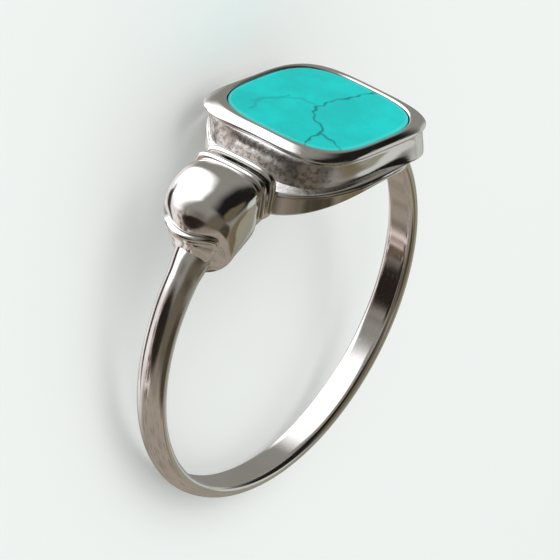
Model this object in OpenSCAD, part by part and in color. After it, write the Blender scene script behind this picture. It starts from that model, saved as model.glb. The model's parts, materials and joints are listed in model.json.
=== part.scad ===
// Silver ring with a flat cushion of turquoise in a bezel and a barrel on one shoulder.
// Millimetres. The ring is drawn upright: finger axis along Y, stone at +Z, barrel at +X.
// lay_down() then turns it on its side, as it rests by itself on a table.

/* [Band] */
// Radius of the finger hole
inner_r = 8.5; // [7.5:0.25:10]
// Thickness of the half-round band
band_t = 0.75; // [0.65:0.05:1]
// Width of the band along the finger
band_w = 1.5; // [1.1:0.1:1.6]

/* [Stone] */
// Half length of the stone across the finger
stone_a = 3.58; // [3.1:0.02:3.6]
// Half width of the stone along the finger
stone_b = 3.46; // [3:0.02:3.48]
// Squareness of the stone's outline, 2 is an ellipse
stone_n = 3.3; // [2.6:0.1:4]
// Thickness of the stone
stone_t = 0.95; // [0.7:0.05:0.95]
// Gap between the stone and its seat
seat_gap = 0.05; // [0.03:0.01:0.08]

/* [Bezel] */
// Height of the rim above the finger hole
rim_up = 1.45; // [1.4:0.05:1.6]
// Half length of the bezel
bezel_a = 4.48; // [4.3:0.02:4.6]
// Half width of the bezel
bezel_b = 3.88; // [3.84:0.02:4]
// Half length of the foot that sits on the finger
foot_a = 4.4; // [4.3:0.05:4.5]
// Half width of the foot
foot_b = 4.45; // [4.3:0.05:4.6]
// Height of the foot's ledge above the finger hole
foot_up = 0.12; // [0.1:0.02:0.2]
// How far the foot reaches toward the barrel
foot_off = 0.75; // [0.6:0.05:0.8]
// How far the bezel sits toward the barrel
bezel_off = 0.12; // [0:0.02:0.2]

/* [Barrel] */
// Half width of the barrel along the finger
barrel_b = 1.95; // [1.8:0.05:2]
// Half width of the two collar rings
collar_b = 2.05; // [2.02:0.01:2.1]
// Thickness of one collar ring
ring_t = 0.32; // [0.28:0.02:0.34]
// Thickness of the rim at the barrel's lower end
end_t = 0.34; // [0.28:0.02:0.36]

/* [Hidden] */
// Heights are measured from the middle of the finger hole.
rim_z = inner_r + rim_up;
foot_z = inner_r + foot_up;
stone_z = rim_z - 0.02;
outer_r = inner_r + band_t;
// Width of the rim's flat lip round the stone, at the ends and at the sides.
lip_a = 0.34;
lip_b = 0.28;
// Radius of the half-round back of the band, and of the two edges where it meets the sides.
dome_r = 0.95;
edge_r = outer_r - dome_r + sqrt(pow(dome_r, 2) - pow(band_w / 2, 2));
// How far below the top the rim's rounding ends and its slope ends, and the stone's rounded edge.
rim_round = 0.16;
rim_slope = 0.34;
stone_edge = 0.06;
// The barrel's stations are drawn for this finger hole, this far round from the crown in degrees,
// and follow the hole's size.
drawn_r = 8.5;
shoulder_at = 40;
grow = inner_r - drawn_r;
// Thickness of the leaf-thin plates that a hull joins.
leaf_t = 0.02;
// At rest the foot's edge and the band's far edge touch the table, and the heavier barrel side is
// this many degrees lower than the other.
tip = 3.3;
// Lean of the finger axis, found by halving the range in which it lies.
lean = even_lean(5, 20, 20);
// Height of the resting ring's middle, and its reach toward the band and toward the stone.
low_z = -band_low(up_row(lean));
far_y = (outer_r - dome_r) * cos(lean) + dome_r;
near_y = rim_z * cos(lean) + (stone_b + lip_b) * sin(lean);

// A rounded square outline: half lengths a and b, squareness n.
function cushion(a, b, n, m = 64) = [for (i = [0:m - 1]) let (c = cos(360 * i / m), s = sin(360 * i / m))
    [a * sign(c) * pow(abs(c), 2 / n), b * sign(s) * pow(abs(s), 2 / n)]];

// A barrel section: half width b, up to "up" above its widest line and "dn" below it.
function section(b, up, n_up, dn, n_dn, m = 48) = [for (i = [0:m - 1])
    let (c = cos(360 * i / m), s = sin(360 * i / m), n = s < 0 ? n_dn : n_up, h = s < 0 ? dn : up)
    [b * sign(c) * pow(abs(c), 2 / n), h * sign(s) * pow(abs(s), 2 / n)]];

// The table's upward direction, seen from the upright ring.
function up_row(lean) = [-sin(tip), cos(tip) * cos(lean), cos(tip) * sin(lean)];

// Lowest heights along "up" of the foot's edge on the finger hole and of the band's edge.
function foot_low(up) = min([for (p = cushion(foot_a, foot_b, 2.5))
    let (x = p[0] + foot_off) up * [x, p[1], sqrt(pow(inner_r, 2) - pow(x, 2))]]);
function band_low(up) = -up[1] * band_w / 2 - up_across(up) * edge_r;
function up_across(up) = sqrt(pow(up[0], 2) + pow(up[2], 2));

// The lean between lo and hi at which the foot and the band lie equally low.
function even_lean(lo, hi, steps) = let (mid = (lo + hi) / 2, up = up_row(mid))
    steps == 0 ? mid
    : foot_low(up) < band_low(up) ? even_lean(mid, hi, steps - 1) : even_lean(lo, mid, steps - 1);

// Lays the upright ring on its side, with its lowest points at z = 0 and its middle over the origin.
module lay_down() {
    translate([0, (near_y - far_y) / 2, low_z]) rotate([90 - lean, tip, 0]) children();
}

module slab(a, b, n, x, z, t) {
    translate([x, 0, z]) linear_extrude(t) polygon(cushion(a, b, n));
}

// A plate across the barrel's axis at x, z, tipped by "tip" degrees.
module plate(x, z, tip, b, up, dn, t = leaf_t, n_up = 3.6, n_dn = 2.3) {
    translate([x + grow * sin(shoulder_at), 0, z + grow * cos(shoulder_at)])
        rotate([0, tip, 0]) rotate([90, 0, 90])
        linear_extrude(t) polygon(section(b, up, n_up, dn, n_dn));
}

// Half-round band: flat inside, domed outside.
module band() {
    rotate([90, 0, 0]) rotate_extrude($fn = 120) translate([inner_r, 0]) intersection() {
        translate([0, -band_w / 2]) square([band_t, band_w]);
        translate([band_t - dome_r, 0]) circle(r = dome_r, $fn = 64);
    }
}

// Bezel walls with a sloped rim, and the foot that spreads out to the finger.
module bezel() {
    hull() {
        slab(stone_a + lip_a, stone_b + lip_b, 3.4, 0, rim_z - leaf_t, leaf_t);
        slab(bezel_a - 0.22, bezel_b - 0.03, 3.5, bezel_off, rim_z - rim_round, leaf_t);
        slab(bezel_a, bezel_b, 3.5, bezel_off, rim_z - rim_slope, leaf_t);
        slab(bezel_a, bezel_b, 3.4, bezel_off, foot_z + 0.3, leaf_t);
    }
    hull() {
        slab(bezel_a - 0.02, bezel_b - 0.02, 3.2, bezel_off, foot_z + 0.5, leaf_t);
        slab(foot_a, foot_b, 2.5, foot_off, foot_z - leaf_t, leaf_t);
    }
    slab(foot_a, foot_b, 2.5, foot_off, inner_r - 2.6, foot_z - inner_r + 2.59);
}

// Short neck, two collar rings, the swelling barrel, the rim at its lower end and the taper into the band.
module barrel() {
    hull() {
        plate(4.0, 7.2, 0, 2.3, 1.3, 1.2);
        plate(5.95, 7.3, 2, barrel_b - 0.15, 1.4, 1.8);
    }
    plate(5.42, 7.4, 0, collar_b, 1.54, 1.85, ring_t, n_up = 4.4);
    plate(5.86, 7.3, 2, collar_b - 0.03, 1.46, 1.8, ring_t, n_up = 4.2);
    hull() {
        plate(6.1, 7.15, 2, barrel_b - 0.06, 1.54, 2.0);
        plate(6.66, 7.0, 7, barrel_b, 1.64, 2.15);
        plate(7.1, 6.74, 12, barrel_b - 0.02, 1.7, 2.2);
        plate(7.42, 6.44, 17, barrel_b - 0.08, 1.66, 2.15, n_up = 3.3);
        plate(7.66, 6.12, 22, barrel_b - 0.24, 1.48, 1.95, n_up = 3, n_dn = 2.1);
        plate(7.86, 6.28, 27, barrel_b - 0.57, 0.76, 1.95, n_up = 2.8, n_dn = 1.4);
    }
    plate(7.76, 6.3, 30, barrel_b - 0.49, 0.82, 2.0, end_t, n_up = 2.8, n_dn = 1.3);
    hull() {
        plate(8.02, 6.14, 32, barrel_b - 0.62, 0.66, 1.9, n_up = 2.8, n_dn = 1.3);
        plate(7.76, 4.48, 60, band_w / 2 + 0.03, 0.34, 0.6, n_up = 2.3);
    }
}

module silver_ring() {
    color([0.86, 0.87, 0.88]) lay_down() difference() {
        union() {
            band();
            difference() {
                union() {
                    bezel();
                    barrel();
                }
                rotate([90, 0, 0]) cylinder(r = inner_r, h = 3 * foot_b, center = true, $fn = 120);
            }
        }
        slab(stone_a + seat_gap, stone_b + seat_gap, stone_n, 0,
            stone_z - stone_t - seat_gap, stone_t + 1);
    }
}

module turquoise_stone() {
    color([0.05, 0.75, 0.72]) lay_down() hull() {
        slab(stone_a, stone_b, stone_n, 0, stone_z - stone_t, stone_t - stone_edge - leaf_t);
        slab(stone_a - stone_edge, stone_b - stone_edge, stone_n, 0, stone_z - leaf_t, leaf_t);
    }
}

silver_ring();
turquoise_stone();
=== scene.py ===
"""Turquoise ring: a half-round silver band, a flared bezel with a flat cushion of turquoise, and a
barrel with collar rings on one shoulder. It lies on its side on a pale floor.

Every shape is worked out in millimetres on the upright ring: x points to the barrel, y along the
finger, z to the stone, and the origin is the middle of the finger hole. lay_down() turns the points
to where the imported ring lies, in metres."""
import json
import math

import bpy
import numpy as np
from mathutils import Matrix


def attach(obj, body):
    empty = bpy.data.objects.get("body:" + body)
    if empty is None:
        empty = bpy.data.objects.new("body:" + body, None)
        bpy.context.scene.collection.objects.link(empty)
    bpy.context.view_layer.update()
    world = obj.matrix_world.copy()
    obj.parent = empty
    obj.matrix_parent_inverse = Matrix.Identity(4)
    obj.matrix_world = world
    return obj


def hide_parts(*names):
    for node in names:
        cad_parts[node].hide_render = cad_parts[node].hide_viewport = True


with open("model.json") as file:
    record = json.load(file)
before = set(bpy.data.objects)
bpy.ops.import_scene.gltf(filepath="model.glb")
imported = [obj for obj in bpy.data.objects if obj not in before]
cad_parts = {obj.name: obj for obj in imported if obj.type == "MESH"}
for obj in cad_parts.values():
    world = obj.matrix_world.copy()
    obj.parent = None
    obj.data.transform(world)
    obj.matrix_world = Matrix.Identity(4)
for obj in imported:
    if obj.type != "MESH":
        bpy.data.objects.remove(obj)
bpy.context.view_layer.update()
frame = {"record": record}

# Where the upright ring's middle and its three axes lie in the row
finger_hole = frame["record"]["mounts"][0]
MIDDLE = np.array(finger_hole["pos_m"])
TO_FINGERTIP = np.array(finger_hole["axis"]) / np.linalg.norm(finger_hole["axis"])
TO_BARREL = np.cross((0, 1, 0), TO_FINGERTIP)
TO_BARREL /= np.linalg.norm(TO_BARREL)
TO_STONE = np.cross(TO_BARREL, TO_FINGERTIP)
AXES = np.stack([TO_BARREL, TO_FINGERTIP, TO_STONE])
INNER_R = finger_hole["dims"]["r_mm"]
MM = 0.001
CORNER_POINTS = 6           # points of a small quarter circle


# Shapes

def lay_down(points):
    """Upright millimetres to metres in the row: the middle plus each coordinate times its axis."""
    return MIDDLE + MM * points @ AXES


def smooth_step(low, high, x):
    """0 below low, 1 above high, and the cubic 3t^2 - 2t^3 between. Falls where high is the lesser."""
    t = np.clip((x - low) / (high - low), 0, 1)
    return t * t * (3 - 2 * t)


def through(rows, count):
    """A smooth line through the rows of a table, as count rows. Between two rows each column is a
    cubic. Its slope at a row is the harmonic mean of the steps before and after it, or 0 where the
    steps have opposite signs, so that it never overshoots."""
    rows = np.asarray(rows, float)
    step = np.diff(rows, axis=0)
    before, after = step[:-1], step[1:]
    total = np.where(before + after == 0, 1, before + after)
    inner = np.where(before * after > 0, 2 * before * after / total, 0)
    slope = np.vstack([step[:1], inner, step[-1:]])
    at = np.linspace(0, len(rows) - 1, count)
    i = np.minimum(at.astype(int), len(rows) - 2)
    t = (at - i)[:, None]
    return ((2 * t**3 - 3 * t**2 + 1) * rows[i] + (t**3 - 2 * t**2 + t) * slope[i]
            + (3 * t**2 - 2 * t**3) * rows[i + 1] + (t**3 - t**2) * slope[i + 1])


def round_angles(columns):
    """Evenly spaced angles of a full turn, as one row."""
    return np.linspace(0, 2 * math.pi, columns, endpoint=False)[None, :]


def cushion(a, b, n, angles):
    """x and y of the rounded square |x/a|^n + |y/b|^n = 1, in each direction from its middle."""
    c, s = np.cos(angles), np.sin(angles)
    reach = (np.abs(c / a) ** n + np.abs(s / b) ** n) ** (-1 / n)
    return np.stack([reach * c, reach * s])


def bore_height(x):
    """Height of the finger hole's roof over x: the circle z = sqrt(r^2 - x^2)."""
    return np.sqrt(INNER_R**2 - x**2)


def add_piece(name, places, faces, material, replaced, marks):
    """A smooth mesh through upright places, riding on the root. Each mark is one value for every
    point, kept as a point attribute."""
    mesh = bpy.data.meshes.new(name)
    mesh.from_pydata(lay_down(places).tolist(), [], faces)
    mesh.polygons.foreach_set("use_smooth", np.ones(len(mesh.polygons), bool))
    for mark, value in marks.items():
        layer = mesh.attributes.new(mark, "FLOAT", "POINT")
        layer.data.foreach_set("value", value.astype(np.float32))
    mesh.materials.append(material)
    mesh.update()
    piece = bpy.data.objects.new(name, mesh)
    bpy.context.scene.collection.objects.link(piece)
    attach(piece, "root")
    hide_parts(replaced)


def silver_skin(name, points, painted_crease_shade=0.0, dents_and_painted_reflection=0.0):
    """A closed silver skin over a grid of points (rows, columns, 3). Each row is a closed loop, and
    each end row is closed by a fan round its middle. Faces are turned outwards where the volume that
    they enclose comes out negative. The shade mark is 1 in the deep corners and recesses, where the
    silver material paints shade; the dent mark is 1 where the surface has fine dent marks, which the
    silver material also speckles with a painted dark-brown reflection."""
    rows, columns = points.shape[:2]
    index = np.arange(rows * columns).reshape(rows, columns)
    beside = np.roll(index, -1, axis=1)
    quads = np.stack([index[:-1], beside[:-1], beside[1:], index[1:]], -1).reshape(-1, 4)
    first, last = rows * columns, rows * columns + 1
    near = np.stack([index[0], np.full(columns, first), beside[0]], -1)
    far = np.stack([index[-1], beside[-1], np.full(columns, last)], -1)
    fans = np.vstack([near, far])
    places = np.vstack([points.reshape(-1, 3), points[0].mean(0), points[-1].mean(0)])
    corners = np.vstack([quads[:, :3], quads[:, [0, 2, 3]], fans])
    a, b, c = (places[corners[:, i]] for i in range(3))
    if np.einsum("ij,ij->", a, np.cross(b, c)) < 0:
        quads, fans = quads[:, ::-1], fans[:, ::-1]
    marks = {}
    for mark, value in (("painted_crease_shade", painted_crease_shade), ("dents_and_painted_reflection", dents_and_painted_reflection)):
        value = np.broadcast_to(value, (rows, columns)).reshape(-1)
        marks[mark] = np.append(value, [value[0], value[-1]])
    add_piece(name, places, quads.tolist() + fans.tolist(), silver, "silver_ring", marks)


# Band

BAND_T = 0.745              # thickness
BAND_W = 1.5                # width along the finger
DOME_R = 0.95               # radius of the half-round back
BAND_EDGE_ROUND = 0.26      # radius of the two inner edges
BACK_STEP = 0.02            # from the back's edge to the first point of the side
BAND_ROWS = 560
DOME_POINTS = 33            # points of the section
SIDE_POINTS = 5
FLAT_POINTS = 10
# Angles round the finger in degrees, from the stone toward the barrel
BAND_START = 50             # inside the barrel's end
BAND_END = 338              # inside the foot
FLARE_ANGLES = (84, 54)     # where the band starts to flare toward the barrel, and where it is widest
ROOT_ANGLES = (64, 55)      # the same for its root, most of which the barrel's end hides
# How much thicker in millimetres, and wider as a share, it then is
FLARE_THICKER = 0.12
FLARE_WIDER = 0.06
ROOT_THICKER = 0.1
ROOT_WIDER = 0.2
BAND_WAVE = 0.006           # how far its back waves in and out, as hand polishing leaves it


def band():
    """A half-round section carried round the finger axis, from inside the barrel's end to inside the
    foot. The section is a flat inside, a quarter circle of radius BAND_EDGE_ROUND, a short flat side
    and an arc of radius DOME_R, and the same back again. Near the barrel it grows thicker, in
    proportion to the height over the finger hole, and wider."""
    outer = INNER_R + BAND_T
    half = BAND_W / 2
    edge = outer - DOME_R + math.sqrt(DOME_R**2 - half**2)
    spread = math.asin(half / DOME_R)
    arc = np.linspace(-spread, spread, DOME_POINTS)
    dome = np.stack([DOME_R * np.sin(arc), outer - DOME_R + DOME_R * np.cos(arc)], -1)
    turn = np.linspace(0, math.pi / 2, CORNER_POINTS)
    r = BAND_EDGE_ROUND
    corner = np.stack([half - r + r * np.cos(turn), INNER_R + r - r * np.sin(turn)], -1)
    fall = np.linspace(edge - BACK_STEP, INNER_R + r, SIDE_POINTS)[:-1]
    wall = np.stack([np.full(len(fall), half), fall], -1)
    other_side = np.vstack([wall, corner])[::-1] * (-1, 1)
    over = np.linspace(half - r, r - half, FLAT_POINTS)[1:-1]
    flat = np.stack([over, np.full(len(over), INNER_R)], -1)
    y, up = np.vstack([dome, wall, corner, flat, other_side]).T[:, None]
    angle = np.linspace(math.radians(BAND_START), math.radians(BAND_END), BAND_ROWS)[:, None]
    flare = smooth_step(*np.radians(FLARE_ANGLES), angle)
    root = smooth_step(*np.radians(ROOT_ANGLES), angle)
    wave = BAND_WAVE * np.sin(11 * angle) * np.sin(5 * angle + 1)
    up = up + (FLARE_THICKER * flare + ROOT_THICKER * root + wave) * (up - INNER_R) / BAND_T
    y = y * (1 + FLARE_WIDER * flare + ROOT_WIDER * root)
    silver_skin("band", np.stack([up * np.sin(angle), y, up * np.cos(angle)], -1))


# Bezel with its foot

BEZEL_STATIONS = [
    # half length, half width, squareness, shift toward the barrel, height, and how far the corner
    # behind the barrel stands out, as a share
    (3.60, 3.48, 3.3, 0.00, 9.20, 0.0),      # seat wall
    (3.60, 3.48, 3.3, 0.00, 9.82, 0.0),
    (3.61, 3.49, 3.3, 0.00, 9.885, 0.0),     # lip, sloping in to the stone
    (3.67, 3.55, 3.3, 0.00, 9.93, 0.005),
    (3.74, 3.60, 3.35, 0.00, 9.95, 0.01),
    (3.83, 3.66, 3.4, 0.00, 9.93, 0.02),
    (3.98, 3.75, 3.6, -0.02, 9.85, 0.04),    # slope
    (4.13, 3.82, 3.8, -0.04, 9.765, 0.05),
    (4.23, 3.86, 3.9, -0.05, 9.69, 0.056),
    (4.26, 3.88, 4.0, -0.06, 9.62, 0.056),   # edge of the rim
    (4.24, 3.86, 4.0, -0.06, 9.56, 0.05),
    (4.19, 3.82, 3.9, -0.05, 9.53, 0.04),    # undercut
    (4.22, 3.84, 3.8, -0.02, 9.44, 0.025),
    (4.27, 3.86, 3.6, 0.02, 9.25, 0.0),      # wall
    (4.32, 3.90, 3.5, 0.07, 9.00, -0.035),
    (4.35, 3.95, 3.4, 0.11, 8.86, -0.05),
    (4.36, 4.00, 3.3, 0.13, 8.79, -0.06),    # base of the wall
    (4.40, 4.10, 3.15, 0.22, 8.76, -0.08),
    (4.43, 4.23, 2.95, 0.40, 8.73, -0.10),   # ledge
    (4.44, 4.33, 2.7, 0.60, 8.69, -0.115),
    (4.41, 4.39, 2.55, 0.71, 8.62, -0.12),
]
WALL_BASE_WIDTH = 4.0       # half width at the base of the wall and at the ledge's outer edge
LEDGE_WIDTH = 4.39
BEZEL_COLUMNS = 256
BEZEL_ROWS = 190
SEAT_ROWS = 18              # rows that lie in the seat
RIM_ROWS = 80               # rows up to the edge of the rim
SIDE_ROWS = 14              # rows down the side of the foot, and along the finger hole
UNDER_ROWS = 38
UNDER_OUTER = 0.994         # size of the outer and of the inner loop along the hole, as shares
UNDER_INNER = 0.05
FOOT_A = 4.4                # half length and half width of the foot, its squareness and its shift
FOOT_B = 4.45
FOOT_N = 2.5
FOOT_OFF = 0.75
FOOT_TOP = 8.62             # height and rounding of its upper edge
FOOT_EDGE = 0.06
FOOT_GAP = 0.03             # the side of the foot ends this far over the finger hole
LEDGE_CURVE = 0.028         # the ledge falls away by this times x squared
LEDGE_HEIGHTS = (9.4, 8.78)     # heights between which that sets in
SKIRT = 0.085               # share by which the base of the wall widens away from the barrel
SKIRT_PLACES = (1.0, -2.5)      # x and heights between which that sets in
SKIRT_HEIGHTS = (9.5, 8.8)
UNDERCUT_HEIGHT = 9.54      # painted shade: a dark line about this height, under the rim's edge, within this distance
UNDERCUT_REACH = 0.025
# strength of that painted shade
UNDERCUT_PAINTED_SHADE = 0.6
# Heights between which the wall's fine dent marks, with their painted dark-brown reflection, set in,
# and end. The middle of the underside lies higher than the second pair, so that on the barrel's side
# it is marked too.
DENT_AND_REFLECTION_TOP = (9.52, 9.45)
DENT_AND_REFLECTION_LOW = (8.0, 8.3)
DENT_AND_REFLECTION_SIDE = (0.35, 0.8)     # cosines of the angle from the barrel between which they set in


def far_corner(angles, share):
    """Factor on the outline at the corner behind the barrel: 1 plus share times the square of the
    sine of twice the angle, in that quarter only."""
    behind = (np.cos(angles) > 0) & (np.sin(angles) < 0)
    return 1 + share * np.sin(2 * angles) ** 2 * behind


def bezel():
    """Rounded squares stacked from the seat wall over the lip, the slope and the wall to the ledge of
    the foot, then down its side to the finger hole, and in along the hole to its middle. The ledge
    and the base of the wall curve down with the finger, by LEDGE_CURVE times x squared. Away from
    the barrel the wall widens downward, by SKIRT at its base, until it meets the foot's edge."""
    angles = round_angles(BEZEL_COLUMNS)
    a, b, n, shift, z, corner = through(BEZEL_STATIONS, BEZEL_ROWS).T[..., None]
    x, y = cushion(a, b, n, angles) * far_corner(angles, corner)
    spare = np.clip((LEDGE_WIDTH - b) / (LEDGE_WIDTH - WALL_BASE_WIDTH), 0, 1)
    y = y * (1 + SKIRT * smooth_step(*SKIRT_PLACES, x) * smooth_step(*SKIRT_HEIGHTS, z) * spare)
    z = z - LEDGE_CURVE * (x + shift) ** 2 * smooth_step(*LEDGE_HEIGHTS, z)
    upper = np.stack([x + shift, y, z], -1)

    turn = np.linspace(0, math.pi / 2, CORNER_POINTS)[:, None]
    x, y = cushion(FOOT_A, FOOT_B, FOOT_N, angles) * far_corner(angles, BEZEL_STATIONS[-1][-1])
    inset = FOOT_EDGE * (1 - np.sin(turn)) / FOOT_B
    x, y = x * (1 - inset) + FOOT_OFF, y * (1 - inset)
    ledge = FOOT_TOP - LEDGE_CURVE * x**2
    edge = np.stack([x, y, ledge - FOOT_EDGE * (1 - np.cos(turn))], -1)

    x, y, top = x[-1:], y[-1:], ledge[-1:] - FOOT_EDGE
    down = np.linspace(0, 1, SIDE_ROWS)[1:, None]
    low = np.minimum(bore_height(x) + FOOT_GAP, top)
    side = np.stack([x + 0 * down, y + 0 * down, top + (low - top) * down], -1)
    inward = np.linspace(1, UNDER_INNER, UNDER_ROWS)[:, None]
    inward[0] = UNDER_OUTER
    x_in = FOOT_OFF + (x - FOOT_OFF) * inward
    under = np.stack([x_in, y * inward, bore_height(x_in)], -1)

    points = np.vstack([upper, edge, side, under])
    height = points[..., 2]
    row = np.arange(len(points))[:, None]
    outside = row > RIM_ROWS
    # Painted shade: a dark line along the undercut under the rim, and the whole seat under the stone
    # darkened.
    undercut = np.exp(-((height - UNDERCUT_HEIGHT) / UNDERCUT_REACH) ** 2) * outside
    painted_crease_shade = np.clip(UNDERCUT_PAINTED_SHADE * undercut + (row < SEAT_ROWS), 0, 1)
    # The wall's fine dent marks, over which the silver material also paints a speckled dark-brown
    # reflection.
    on_wall = smooth_step(*DENT_AND_REFLECTION_TOP, height) * smooth_step(*DENT_AND_REFLECTION_LOW, height) * outside
    silver_skin("bezel", points, painted_crease_shade, dents_and_painted_reflection=on_wall * smooth_step(*DENT_AND_REFLECTION_SIDE, np.cos(angles)))


# Barrel on the shoulder

CROWN = 0.2                 # share of the height that is a parabola over the top
COLLAR_CROWN = 0.06
SQUARENESS_BLEND = 0.35     # sine of the angle within which the squareness changes over
# Depths below the widest line, as shares, between which the bow of the top ends and the low one sets in
BOW_TOP_DEPTHS = (0.25, 0)
BOW_LOW_DEPTHS = (0.35, 0.68)
BARREL_COLUMNS = 192
BARREL_ROWS = 120
NECK_ROWS = 24
BEAD_ROWS = 25
FINGER_SOFT = 0.06          # how softly the barrel is pushed clear of the finger
# How far each piece stays off the finger hole, so that no two of them share a face there
NECK_OFF = 0.006
COLLAR_OFF = (0.003, 0.006)
BARREL_OFF = 0.005
END_OFF = 0.003
# Painted shade over the whole neck, between the collar rings and the bezel.
NECK_PAINTED_SHADE = 0.25
COLLAR_T = 0.36
END_T = 0.34

NECK_STATIONS = [
    # x and height of the widest line, tip, half width, reach above and below, squareness above and
    # below, and how far the middle bows out at the top and at the bottom
    (3.80, 7.20, 0, 1.75, 1.00, 1.2, 3.0, 2.3, 0, 0),
    (4.60, 7.22, 0, 1.72, 1.05, 1.3, 3.0, 2.3, 0, 0),
    (5.30, 7.28, 1, 1.75, 1.20, 1.5, 3.0, 2.3, 0, 0),
    (6.10, 7.20, 2, 1.80, 1.36, 1.8, 4.0, 2.6, 0, 0),
]
COLLAR_STATIONS = [
    (4.92, 7.44, 0, 1.99, 1.52, 1.85, 5.5, 1.8, 0, 0),
    (5.50, 7.36, 2, 1.99, 1.48, 1.80, 5.5, 1.8, 0, 0),
]
BARREL_STATIONS = [
    (5.78, 7.22, 2, 1.80, 1.38, 1.95, 4.8, 2.8, 0, 0),
    (5.94, 7.20, 2, 1.88, 1.50, 1.98, 4.8, 2.8, 0, 0),
    (6.34, 7.10, 4, 1.94, 1.61, 2.06, 4.6, 2.8, 0.01, 0.02),
    (6.66, 7.00, 7, 1.95, 1.66, 2.15, 4.4, 2.8, 0.02, 0.05),
    (7.10, 6.74, 12, 1.93, 1.68, 2.20, 4.0, 2.8, 0.10, 0.15),
    (7.42, 6.44, 17, 1.87, 1.57, 2.25, 3.6, 2.6, 0.20, 0.20),
    (7.64, 6.24, 22, 1.73, 1.20, 2.25, 3.2, 2.2, 0.35, 0.35),
    (7.76, 6.26, 26, 1.54, 0.72, 2.20, 2.9, 1.7, 0.50, 0.45),
    (7.84, 6.28, 28, 1.38, 0.40, 2.10, 2.8, 1.4, 0.55, 0.45),
]
END_STATION = (7.76, 6.30, 30, 1.48, 0.46, 2.1, 2.8, 1.4, 0.60, 0.40)


def clear_of_finger(points, bore):
    """Points nearer the finger axis than the bore are pushed straight out to it. The push starts
    softly: the new distance is half of r plus the bore plus hypot(r - bore, FINGER_SOFT)."""
    r = np.hypot(points[..., 0], points[..., 2])
    new = (r + bore + np.hypot(r - bore, FINGER_SOFT)) / 2
    points = points.copy()
    points[..., 0] *= new / r
    points[..., 2] *= new / r
    return points


def across_barrel(x, z, tip, half, up, down, n_up, n_down, bow_top, bow_low, off_finger, crown):
    """Loops across the barrel's axis, one for each row of the given columns. In its tipped plane a
    loop is |across/half|^n + |rise/height|^n = 1, where the height and the squareness n differ
    above and below the widest line. The share crown of the height above is a parabola over the
    top instead. The middle of the loop bows out along the axis, by bow times 1 - (across/half)^2:
    bow_top down to the widest line and bow_low near the finger, with nothing between them. What
    comes nearer the finger hole than off_finger is pushed out to there."""
    angles = round_angles(BARREL_COLUMNS)
    height = np.where(np.sin(angles) > 0, up * (1 - crown), down)
    n = n_down + (n_up - n_down) * smooth_step(-SQUARENESS_BLEND, SQUARENESS_BLEND, np.sin(angles))
    across, rise = cushion(half, height, n, angles)
    middle = 1 - (across / half) ** 2
    rise = rise + up * crown * middle * smooth_step(0, 1, rise / height)
    depth = -rise / down
    bow = bow_top * smooth_step(*BOW_TOP_DEPTHS, depth) + bow_low * smooth_step(*BOW_LOW_DEPTHS, depth)
    along = bow * middle
    lean = np.radians(tip)
    points = np.stack([x + rise * np.sin(lean) + along * np.cos(lean), across + 0 * x,
                       z + rise * np.cos(lean) - along * np.sin(lean)], -1)
    return clear_of_finger(points, INNER_R + off_finger)


def loft(name, stations, count, off_finger, painted_crease_shade=0.0):
    """A smooth skin through the barrel's stations."""
    columns = through(stations, count).T[..., None]
    silver_skin(name, across_barrel(*columns, off_finger, CROWN), painted_crease_shade)


def beaded_disc(name, station, thickness, off_finger, crown):
    """A disc across the barrel's axis whose edge is a half-round bead. The outline is drawn in by
    depth times 1 - cos(angle) as the section moves along the axis by depth times sin(angle). Each
    flat side has one more loop, halfway to its middle."""
    x, z, tip, half, up, down, *form = station
    depth = thickness / 2
    angle = np.linspace(-math.pi / 2, math.pi / 2, BEAD_ROWS)[:, None]
    inset = depth * (1 - np.cos(angle))
    along = depth + depth * np.sin(angle)
    lean = math.radians(tip)
    points = across_barrel(x + along * math.cos(lean), z - along * math.sin(lean), tip + 0 * angle,
                           half - inset, up - inset, down - inset, *form, off_finger, crown)
    flat_start = points[:1] * 0.5 + points[:1].mean(1, keepdims=True) * 0.5
    flat_end = points[-1:] * 0.5 + points[-1:].mean(1, keepdims=True) * 0.5
    silver_skin(name, np.vstack([flat_start, points, flat_end]))


def barrel():
    """Neck, two collar rings, the swelling barrel and the rim at its lower end."""
    loft("neck", NECK_STATIONS, NECK_ROWS, NECK_OFF, NECK_PAINTED_SHADE)
    for number, (station, off_finger) in enumerate(zip(COLLAR_STATIONS, COLLAR_OFF), 1):
        beaded_disc(f"collar_ring_{number}", station, COLLAR_T, off_finger, COLLAR_CROWN)
    loft("barrel", BARREL_STATIONS, BARREL_ROWS, BARREL_OFF)
    beaded_disc("end_rim", END_STATION, END_T, END_OFF, CROWN)


# Stone

STONE_A = 3.58              # half length, half width and squareness
STONE_B = 3.46
STONE_N = 3.3
STONE_TOP = 9.93
STONE_SWELL = 0.02          # how much higher the middle of the top is than its edge
STONE_EDGE = 0.1            # radius of the edge of the top
STONE_SIDE = 0.85           # how far below the top's outline the side ends, and the underside lies
STONE_UNDER = 0.89
STONE_BEVEL = 0.05          # width of the bevel between them
STONE_INNER_LOOP = 1.2      # how far inside the outline the last loop of the underside lies
TOP_REACH = 3.4             # from the middle of the top to its edge
NO_VEIN = 9.0               # a distance at which no vein shows
GRID_STEPS = 110            # from the middle of the top to its edge
EDGE_ROWS = 9               # rows over the edge, and down the side
DROP_ROWS = 7

# Veins as lines through points x, y on the top
MAIN_VEIN = [(-3.56, 0.47), (-2.17, 0.17), (-0.74, -0.11), (0.08, -0.06), (0.6, 0.22), (1.11, 0.68),
             (1.48, 1.35), (1.91, 1.59), (2.81, 1.72), (3.65, 1.9)]
SIDE_VEIN = [(1.91, 1.59), (2.07, 2.19), (2.34, 3.0)]
FAINT_VEINS = [[(2.17, -2.13), (1.04, -1.85), (-0.06, -0.94), (-0.13, -0.12)],
               [(2.6, -1.7), (1.77, -1.97), (0.27, -1.51)]]


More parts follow.
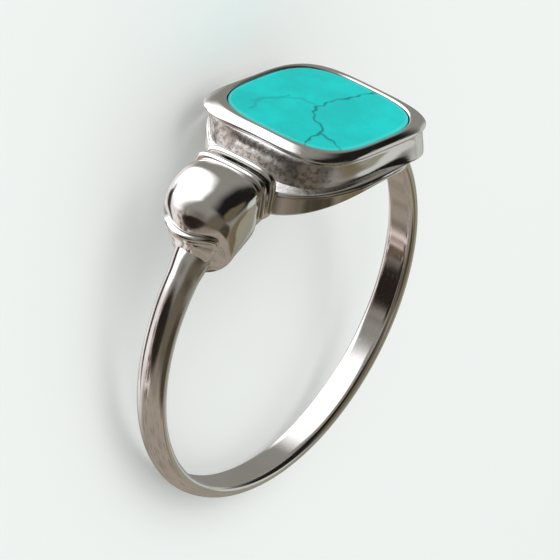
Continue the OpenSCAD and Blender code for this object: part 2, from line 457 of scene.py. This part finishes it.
def away_from_line(x, y, line):
    """Distance of each point from a line of straight pieces: the least over the pieces of the
    distance to the nearest point on each."""
    best = np.full(x.shape, np.inf)
    for (x0, y0), (x1, y1) in zip(line[:-1], line[1:]):
        dx, dy = x1 - x0, y1 - y0
        share = np.clip(((x - x0) * dx + (y - y0) * dy) / (dx * dx + dy * dy), 0, 1)
        best = np.minimum(best, np.hypot(x - x0 - share * dx, y - y0 - share * dy))
    return best


def stone_top():
    """The top inside its rounded edge: a square grid of points, how far out each lies (0 in the
    middle, 1 on the outline), and its distances from the veins and the faint veins. Each ray of the
    grid is drawn in to the rounded square by a factor that differs from 1 with the cube of the way
    out. For the veins' wandering the place is shifted by sines of x and y."""
    half = np.linspace(-1, 1, 2 * GRID_STEPS + 1)
    u, v = np.meshgrid(half, half)
    square = np.maximum(np.abs(u), np.abs(v))
    flat_a, flat_b = STONE_A - STONE_EDGE, STONE_B - STONE_EDGE
    outline = np.hypot(*cushion(flat_a, flat_b, STONE_N, np.arctan2(v * STONE_B, u * STONE_A)))
    on_square = np.hypot(u * flat_a, v * flat_b) / np.where(square == 0, 1, square)
    pull = 1 + (outline / np.where(on_square == 0, 1, on_square) - 1) * square**3
    x, y = u * flat_a * pull, v * flat_b * pull
    wavy_x = x + 0.05 * np.sin(4.1 * y + 1.3 * x + 1) + 0.035 * np.sin(11 * y - 3 * x)
    wavy_y = y + 0.05 * np.sin(3.7 * x - 1.1 * y) + 0.04 * np.sin(9.5 * x + 4 * y + 2)
    veins = [away_from_line(wavy_x, wavy_y, line) for line in (MAIN_VEIN, SIDE_VEIN)]
    faint_veins = [away_from_line(wavy_x, wavy_y, line) for line in FAINT_VEINS]
    points = np.stack([x, y, STONE_TOP - STONE_SWELL * square**2], -1)
    return points, square, np.minimum.reduce(veins), np.minimum.reduce(faint_veins)


def stone():
    """The top, and loops round its outline that go over the edge by STONE_EDGE times sin out and
    STONE_EDGE times 1 - cos down, down the side and under the stone, where a fan closes them."""
    points, square, vein, faint_vein = stone_top()
    index = np.arange(square.size).reshape(square.shape)
    top = np.stack([index[:-1, :-1], index[:-1, 1:], index[1:, 1:], index[1:, :-1]], -1).reshape(-1, 4)
    points = points.reshape(-1, 3)
    ring = np.concatenate([index[0, :-1], index[:-1, -1], index[-1, :0:-1], index[:0:-1, 0]])
    outline = points[ring]
    outward = outline[:, :2] / np.linalg.norm(outline[:, :2], axis=1, keepdims=True)
    turn = np.linspace(0, math.pi / 2, EDGE_ROWS)[1:]
    over = np.column_stack([STONE_EDGE * np.sin(turn), STONE_EDGE * (1 - np.cos(turn))])
    side = [(STONE_EDGE, drop) for drop in np.linspace(STONE_EDGE, STONE_SIDE, DROP_ROWS)[1:]]
    under = [(STONE_EDGE - STONE_BEVEL, STONE_UNDER), (-STONE_INNER_LOOP, STONE_UNDER)]
    loops = [np.column_stack([outline[:, :2] + reach * outward, outline[:, 2] - drop])
             for reach, drop in np.vstack([over, side, under])]
    centre = [0, 0, loops[-1][0, 2]]
    places = np.vstack([points, *loops, centre])
    added = len(points) + np.arange(len(loops) * len(ring)).reshape(len(loops), len(ring))
    rows = np.vstack([ring, added])
    beside = np.roll(rows, -1, axis=1)
    walls = np.stack([rows[:-1], rows[1:], beside[1:], beside[:-1]], -1).reshape(-1, 4)
    fan = np.stack([rows[-1], np.full(len(ring), len(places) - 1), beside[-1]], -1)
    vein, outside = vein.reshape(-1), len(places) - len(points)
    marks = {
        "vein": np.concatenate([vein, np.tile(vein[ring], len(loops)), [NO_VEIN]]),
        "faint_vein": np.append(faint_vein.reshape(-1), np.full(outside, NO_VEIN)),
        "edge": np.append(((1 - square) * TOP_REACH).reshape(-1), np.zeros(outside)),
    }
    add_piece("turquoise", places, top.tolist() + walls.tolist() + fan.tolist(),
              turquoise, "turquoise_stone", marks)


# Node helpers

def link(tree, start, end):
    tree.links.new(start, end)


def feed(tree, socket, value):
    """Links the socket to an output, or sets it to a number, a vector or a colour."""
    if isinstance(value, bpy.types.NodeSocket):
        link(tree, value, socket)
    elif socket.type == "RGBA":
        socket.default_value = (*value, 1)
    else:
        socket.default_value = value


def math_node(tree, operation, *values):
    """A Math node; each value is a number or an output."""
    node = tree.nodes.new("ShaderNodeMath")
    node.operation = operation
    for socket, value in zip(node.inputs, values):
        feed(tree, socket, value)
    return node.outputs[0]


def add_shares(tree, start, *shares):
    """start plus each value times its share; shares are pairs of value and share."""
    for value, share in shares:
        start = math_node(tree, "ADD", start, math_node(tree, "MULTIPLY", value, share))
    return start


def vector_node(tree, operation, *values):
    """A Vector Math node; each value is a vector or an output."""
    node = tree.nodes.new("ShaderNodeVectorMath")
    node.operation = operation
    for socket, value in zip(node.inputs, values):
        feed(tree, socket, value)
    return node.outputs["Value" if operation in ("DOT_PRODUCT", "LENGTH") else "Vector"]


def ramp(tree, value, low, high, new_low=0.0, new_high=1.0):
    """value from low to high becomes new_low to new_high along a smooth step."""
    node = tree.nodes.new("ShaderNodeMapRange")
    node.interpolation_type = "SMOOTHSTEP"
    names = ("Value", "From Min", "From Max", "To Min", "To Max")
    for name, number in zip(names, (value, low, high, new_low, new_high)):
        feed(tree, node.inputs[name], number)
    return node.outputs["Result"]


def blend(tree, share, first, second):
    """A colour mix; first and second are colours or outputs."""
    node = tree.nodes.new("ShaderNodeMix")
    node.data_type = "RGBA"
    sockets = {socket.identifier: socket for socket in node.inputs}
    for name, value in (("Factor_Float", share), ("A_Color", first), ("B_Color", second)):
        feed(tree, sockets[name], value)
    return next(s for s in node.outputs if s.identifier == "Result_Color")


def noise(tree, vector, per_mm, detail=3.0, stretch=(1, 1, 1), turn=(0, 0, 0), roughness=0.5):
    """Noise with per_mm waves in a millimetre, stretched along the turned axes."""
    place = tree.nodes.new("ShaderNodeMapping")
    place.inputs["Scale"].default_value = [per_mm / MM * s for s in stretch]
    place.inputs["Rotation"].default_value = [math.radians(a) for a in turn]
    link(tree, vector, place.inputs["Vector"])
    node = tree.nodes.new("ShaderNodeTexNoise")
    node.inputs["Scale"].default_value = 1
    node.inputs["Detail"].default_value = detail
    node.inputs["Roughness"].default_value = roughness
    link(tree, place.outputs[0], node.inputs["Vector"])
    return node.outputs["Fac"]


def attribute(tree, name):
    node = tree.nodes.new("ShaderNodeAttribute")
    node.attribute_name = name
    return node.outputs["Fac"]


def object_place(tree):
    return tree.nodes.new("ShaderNodeTexCoord").outputs["Object"]


def new_material(name):
    """An empty node material: (material, tree, its Principled shader)."""
    material = bpy.data.materials.new(name)
    material.use_nodes = True
    tree = material.node_tree
    tree.nodes.clear()
    shader = tree.nodes.new("ShaderNodeBsdfPrincipled")
    out = tree.nodes.new("ShaderNodeOutputMaterial")
    link(tree, shader.outputs[0], out.inputs["Surface"])
    return material, tree, shader


def add_bump(tree, shader, height, depth_mm):
    node = tree.nodes.new("ShaderNodeBump")
    node.inputs["Distance"].default_value = depth_mm * MM
    node.inputs["Strength"].default_value = 1.0
    link(tree, height, node.inputs["Height"])
    link(tree, node.outputs[0], shader.inputs["Normal"])


# Materials

SILVER_BRIGHT = (0.94, 0.93, 0.91)
SILVER_CLOUDED = (0.88, 0.865, 0.84)
SILVER_SCRATCHED = (0.7, 0.69, 0.67)
# Painted reflection: dark brown speckled over the wall's dent marks.
SILVER_PAINTED_REFLECTION = (0.24, 0.18, 0.15)
# Painted shade for the corners and recesses.
SILVER_PAINTED_SHADE = (0.13, 0.115, 0.1)
SILVER_BUMP = 0.012         # depth in millimetres

TURQUOISE_DEEP = (0.0, 0.58, 0.555)
TURQUOISE_LIGHT = (0.0, 0.69, 0.66)
TURQUOISE_GRAIN = (0.01, 0.45, 0.43)
VEIN_COLOUR = (0.0, 0.19, 0.2)
FAINT_VEIN_COLOUR = (0.0, 0.32, 0.33)
# Painted highlight: a lighter line round the edge of the top.
PAINTED_EDGE_HIGHLIGHT = (0.16, 0.74, 0.70)
STONE_BUMP = 0.01
STONE_IOR = 1.4


def fine_wear_group():
    """Fine wear of a polished surface: hairline scratches in two directions, soft cloudy patches
    from handling, and the height of the scratches and of slow waves. Scratches are noise that is
    many times longer than wide, cut off near its top; clouds are plain noise."""
    group = bpy.data.node_groups.new("fine wear", "ShaderNodeTree")
    group.interface.new_socket("Place", in_out="INPUT", socket_type="NodeSocketVector")
    group.interface.new_socket("Scratch Amount", in_out="INPUT", socket_type="NodeSocketFloat")
    for name in ("Scratches", "Clouds", "Height"):
        group.interface.new_socket(name, in_out="OUTPUT", socket_type="NodeSocketFloat")
    given = group.nodes.new("NodeGroupInput")
    out = group.nodes.new("NodeGroupOutput")
    place = given.outputs["Place"]
    along = noise(group, place, 1.0, 2, stretch=(0.3, 14, 14), turn=(0, 20, 35))
    across = noise(group, place, 1.0, 2, stretch=(16, 0.4, 16), turn=(25, 0, -20))
    lines = math_node(group, "MAXIMUM", ramp(group, along, 0.64, 0.74), ramp(group, across, 0.66, 0.76))
    scratches = math_node(group, "MULTIPLY", lines, given.outputs["Scratch Amount"])
    link(group, scratches, out.inputs["Scratches"])
    link(group, ramp(group, noise(group, place, 0.55, 4), 0.35, 0.7), out.inputs["Clouds"])
    waves = noise(group, place, 0.45, 1)
    link(group, add_shares(group, waves, (scratches, -0.06)), out.inputs["Height"])
    return group


def use_wear(tree, scratch_amount):
    node = tree.nodes.new("ShaderNodeGroup")
    node.node_tree = fine_wear
    node.inputs["Scratch Amount"].default_value = scratch_amount
    link(tree, object_place(tree), node.inputs["Place"])
    return node.outputs


def polished_silver():
    """Polished silver: bright metal with a soft haze of wear, darker with painted shade and duller in
    the corners and recesses, and speckled with a painted dark-brown reflection, uneven and a little
    duller where it has fine dent marks."""
    material, tree, shader = new_material("polished silver")
    place = object_place(tree)
    wear = use_wear(tree, 1.0)
    patches = ramp(tree, noise(tree, place, 3.0, 3), 0.2, 0.6, 0.6, 1.0)
    # Painted shade in the corners and recesses, in patches.
    painted_crease_shade = math_node(tree, "MULTIPLY", attribute(tree, "painted_crease_shade"), patches)
    dent_and_reflection_area = attribute(tree, "dents_and_painted_reflection")
    # Where the wall has dent marks; the colour below also paints a dark-brown reflection there.
    dents_and_painted_reflection = math_node(tree, "MULTIPLY", noise(tree, place, 5.0, 3), dent_and_reflection_area)
    scratched = math_node(tree, "MULTIPLY", wear["Scratches"], 0.35)
    base = blend(tree, wear["Clouds"], SILVER_BRIGHT, SILVER_CLOUDED)
    base = blend(tree, scratched, base, SILVER_SCRATCHED)
    # Painted reflection: dark brown over the dent marks.
    base = blend(tree, ramp(tree, dents_and_painted_reflection, 0.4, 0.68, 0.0, 0.65), base, SILVER_PAINTED_REFLECTION)
    # Painted shade over the corners and recesses.
    link(tree, blend(tree, painted_crease_shade, base, SILVER_PAINTED_SHADE), shader.inputs["Base Color"])
    rough = add_shares(tree, ramp(tree, wear["Clouds"], 0, 1, 0.07, 0.12),
                       (wear["Scratches"], 0.1), (painted_crease_shade, 0.3), (dent_and_reflection_area, 0.17))
    link(tree, rough, shader.inputs["Roughness"])
    shader.inputs["Metallic"].default_value = 1
    add_bump(tree, shader, add_shares(tree, wear["Height"], (dents_and_painted_reflection, 0.6)), SILVER_BUMP)
    return material


def polished_turquoise():
    """Polished turquoise: bright teal with faint clouds, thin darker veins whose width and depth vary
    along them, and a painted highlight, a lighter line round the edge of the top."""
    material, tree, shader = new_material("polished turquoise")
    place = object_place(tree)
    clouds = ramp(tree, noise(tree, place, 0.5, 5, roughness=0.6), 0.35, 0.68)
    base = blend(tree, clouds, TURQUOISE_DEEP, TURQUOISE_LIGHT)
    grains = ramp(tree, noise(tree, place, 5.0, 3), 0.55, 0.8, 0, 0.35)
    base = blend(tree, grains, base, TURQUOISE_GRAIN)
    width = ramp(tree, noise(tree, place, 2.2, 3), 0.3, 0.7, 0.06, 0.15)
    vein = ramp(tree, attribute(tree, "vein"), 0.0, width, 1.0, 0.0)
    broken = ramp(tree, noise(tree, place, 1.1, 2), 0.3, 0.5, 0.45, 0.9)
    base = blend(tree, math_node(tree, "MULTIPLY", vein, broken), base, VEIN_COLOUR)
    faint = ramp(tree, attribute(tree, "faint_vein"), 0.0, 0.13, 0.45, 0.0)
    base = blend(tree, faint, base, FAINT_VEIN_COLOUR)
    # Painted highlight along the edge of the top.
    edge = ramp(tree, attribute(tree, "edge"), 0.02, 0.12, 0.35, 0.0)
    link(tree, blend(tree, edge, base, PAINTED_EDGE_HIGHLIGHT), shader.inputs["Base Color"])
    wear = use_wear(tree, 0.6)
    rough = add_shares(tree, ramp(tree, wear["Clouds"], 0, 1, 0.08, 0.13), (vein, 0.15))
    link(tree, rough, shader.inputs["Roughness"])
    shader.inputs["IOR"].default_value = STONE_IOR
    add_bump(tree, shader, add_shares(tree, wear["Height"], (vein, -0.4)), STONE_BUMP)
    return material


# Floor and surroundings

FLOOR_COLOUR = (0.86, 0.89, 0.875)
FLOOR_MOTTLE = 0.97         # how dark its darkest mottling is, as a share
FLOOR_R = 1.3               # metres
FLOOR_CORNERS = 96
BACKDROP_COLOUR = (0.65, 0.675, 0.66)
ROOM_LIGHT = (0.75, 0.75, 0.745)


def floor():
    """A wide round floor at height 0, with the faintest mottling."""
    material, tree, shader = new_material("pale floor")
    mottle = noise(tree, object_place(tree), 0.02, 3)
    darker = tuple(c * FLOOR_MOTTLE for c in FLOOR_COLOUR)
    link(tree, blend(tree, mottle, FLOOR_COLOUR, darker), shader.inputs["Base Color"])
    shader.inputs["Roughness"].default_value = 0.9
    shader.inputs["Specular IOR Level"].default_value = 0.1
    turn = np.linspace(0, 2 * math.pi, FLOOR_CORNERS, endpoint=False)
    places = np.column_stack([FLOOR_R * np.cos(turn), FLOOR_R * np.sin(turn), 0 * turn])
    mesh = bpy.data.meshes.new("floor")
    mesh.from_pydata(places.tolist(), [], [list(range(FLOOR_CORNERS))])
    mesh.materials.append(material)
    piece = bpy.data.objects.new("floor", mesh)
    bpy.context.scene.collection.objects.link(piece)
    piece.visible_glossy = False


# What the silver mirrors: soft cards round the ring, each over the ones before it. A card is a
# direction on the upright ring, its width along x, y and z, how soft its edge is, and its colour.
SURROUND = (0.25, 0.24, 0.22)
MOTTLED = "mottled"
PINK_STONE = (0.80, 0.68, 0.65)
BROWN_STONE = (0.13, 0.09, 0.06)
SPECK_COLOUR = (0.10, 0.075, 0.05)
MOTTLE_SCALE = 9
MOTTLE_DETAIL = 4
CARDS = [
    ((0.0, 0.2, -1.0), (1.3, 1.3, 0.75), 0.4, (0.33, 0.285, 0.235)),       # brown ground below
    ((0.1, -1.0, -0.15), (1.1, 0.62, 0.8), 0.4, (0.85, 0.81, 0.80)),       # pale wall behind
    ((0.2, -0.75, 0.55), (0.77, 0.6, 0.75), 0.35, (1.9, 1.9, 1.95)),       # bright window above it
    ((0.1, -0.97, -0.2), (0.2, 0.5, 0.6), 0.5, (0.04, 0.03, 0.028)),       # dark post in the wall
    ((0.85, -0.5, -0.35), (0.5, 0.42, 0.6), 0.4, MOTTLED),                 # pink and brown stone
    ((0.85, 0.25, -0.46), (0.35, 0.35, 0.5), 0.5, (0.25, 0.205, 0.17)),    # brown beside the stone
    ((0.75, 0.5, -0.05), (0.6, 0.6, 0.6), 0.5, (0.12, 0.10, 0.07)),        # darker brown above that
    ((0.93, -0.24, -0.17), (0.48, 0.56, 0.48), 0.45, (0.02, 0.015, 0.012)),    # dark gap over both
    ((-0.1, 0.75, 0.65), (1.5, 1.05, 0.8), 0.4, (0.008, 0.007, 0.006)),    # dark room in front
    ((0.2, 0.85, 0.3), (0.75, 0.4, 0.35), 0.4, (0.12, 0.10, 0.06)),        # olive table in it
    ((0.4, 0.8, -0.45), (0.55, 0.4, 0.5), 0.5, (0.05, 0.042, 0.027)),      # dark olive under it
    ((-0.4, 0.75, -0.5), (0.5, 0.45, 0.5), 0.5, (0.16, 0.13, 0.075)),      # olive beside that
    ((-0.75, 0.62, 0.0), (0.35, 0.4, 0.28), 0.4, (0.56, 0.57, 0.54)),      # grey at the right
    ((-0.95, 0.08, -0.2), (0.35, 0.4, 0.6), 0.4, (0.50, 0.53, 0.48)),      # grey-green beside it
    ((-0.72, 0.52, -0.46), (0.3, 0.25, 0.3), 0.4, (0.30, 0.285, 0.225)),   # olive grey below them
]


def background(tree, colour):
    node = tree.nodes.new("ShaderNodeBackground")
    feed(tree, node.inputs["Color"], colour)
    return node.outputs[0]


def choose(tree, share, first, second):
    """first where share is 0 and second where it is 1, both shaders."""
    node = tree.nodes.new("ShaderNodeMixShader")
    for socket, value in zip(node.inputs, (share, first, second)):
        link(tree, value, socket)
    return node.outputs[0]


def mirrored_colour(tree):
    """The cards, as a colour over the directions. A card's mask is 1 where the direction, less the
    card's and divided by its width, is short. Below, specks of noise darken them."""
    direction = tree.nodes.new("ShaderNodeTexCoord").outputs["Generated"]
    parts = [vector_node(tree, "DOT_PRODUCT", direction, axis) for axis in AXES]
    join = tree.nodes.new("ShaderNodeCombineXYZ")
    for part, socket in zip(parts, join.inputs):
        link(tree, part, socket)
    upright = join.outputs[0]
    patches = tree.nodes.new("ShaderNodeTexNoise")
    patches.inputs["Scale"].default_value = MOTTLE_SCALE
    patches.inputs["Detail"].default_value = MOTTLE_DETAIL
    link(tree, upright, patches.inputs["Vector"])
    mottle = patches.outputs["Fac"]
    mottled = blend(tree, ramp(tree, mottle, 0.42, 0.6), PINK_STONE, BROWN_STONE)
    colour = SURROUND
    for centre, width, soft, shade in CARDS:
        away = vector_node(tree, "SUBTRACT", upright, np.array(centre) / np.linalg.norm(centre))
        length = vector_node(tree, "LENGTH", vector_node(tree, "DIVIDE", away, width))
        share = ramp(tree, length, 1 - soft, 1.0, 1.0, 0.0)
        colour = blend(tree, share, colour, mottled if shade == MOTTLED else shade)
    below = ramp(tree, parts[2], -0.35, -0.1, 1.0, 0.0)
    specks = math_node(tree, "MULTIPLY", ramp(tree, mottle, 0.5, 0.65, 0.0, 0.4), below)
    return blend(tree, specks, colour, SPECK_COLOUR)


def surroundings():
    """The world. A camera ray sees the plain backdrop, a mirrored ray the cards, and every other ray
    even room light."""
    world = bpy.data.worlds.new("soft studio")
    bpy.context.scene.world = world
    world.use_nodes = True
    tree = world.node_tree
    tree.nodes.clear()
    rays = tree.nodes.new("ShaderNodeLightPath").outputs
    mirrored = background(tree, mirrored_colour(tree))
    lit = choose(tree, rays["Is Glossy Ray"], background(tree, ROOM_LIGHT), mirrored)
    seen = choose(tree, rays["Is Camera Ray"], lit, background(tree, BACKDROP_COLOUR))
    out = tree.nodes.new("ShaderNodeOutputWorld")
    link(tree, seen, out.inputs["Surface"])


# Lights and camera

# Name, place and side of the square in millimetres, and watts
LIGHTS = [
    ("key light", (-60, -220, 240), 200, 0.25),
    ("fill light", (260, 120, 200), 240, 0.08),
    ("overhead light", (0, 20, 420), 700, 0.34),
]
LIGHTS_TARGET = (0, 0, 3)
# The photo's own viewpoint on the upright ring, in millimetres, and its way up
CAMERA_PLACE = (165.681, 109.537, 102.763)
CAMERA_TARGET = (-0.205, -0.426, 1.096)
CAMERA_UP = (-0.28202, -0.41213, 0.86638)
CAMERA_LENS = 324
CAMERA_SENSOR = 36
CAMERA_NEAR = 0.01          # metres
CAMERA_FAR = 10


def aim(thing, place, target, up):
    """Puts a camera or light at place, looking at target, with up upward in its picture."""
    back = np.array(place) - np.array(target)
    back /= np.linalg.norm(back)
    right = np.cross(up, back)
    right /= np.linalg.norm(right)
    matrix = np.eye(4)
    matrix[:3, :3] = np.column_stack([right, np.cross(back, right), back])
    matrix[:3, 3] = place
    thing.matrix_world = Matrix(matrix.tolist())


def soft_light(name, place_mm, size_mm, watts):
    """A square area light aimed at the ring. The silver mirrors the cards instead of it."""
    data = bpy.data.lights.new(name, "AREA")
    data.shape = "SQUARE"
    data.size = size_mm * MM
    data.energy = watts
    light = bpy.data.objects.new(name, data)
    bpy.context.scene.collection.objects.link(light)
    aim(light, np.array(place_mm) * MM, np.array(LIGHTS_TARGET) * MM, (0, 0, 1))
    light.visible_glossy = False


def camera():
    """The photo's viewpoint, with a longer lens."""
    data = bpy.data.cameras.new("camera")
    data.lens = CAMERA_LENS
    data.sensor_width = CAMERA_SENSOR
    data.clip_start = CAMERA_NEAR
    data.clip_end = CAMERA_FAR
    eye = bpy.data.objects.new("camera", data)
    bpy.context.scene.collection.objects.link(eye)
    place, target = lay_down(np.array([CAMERA_PLACE, CAMERA_TARGET]))
    aim(eye, place, target, np.array(CAMERA_UP) @ AXES)
    bpy.context.scene.camera = eye


bpy.context.scene.view_settings.view_transform = "Standard"
camera()
fine_wear = fine_wear_group()
silver = polished_silver()
turquoise = polished_turquoise()
band()
bezel()
barrel()
stone()
floor()
surroundings()
for light in LIGHTS:
    soft_light(*light)
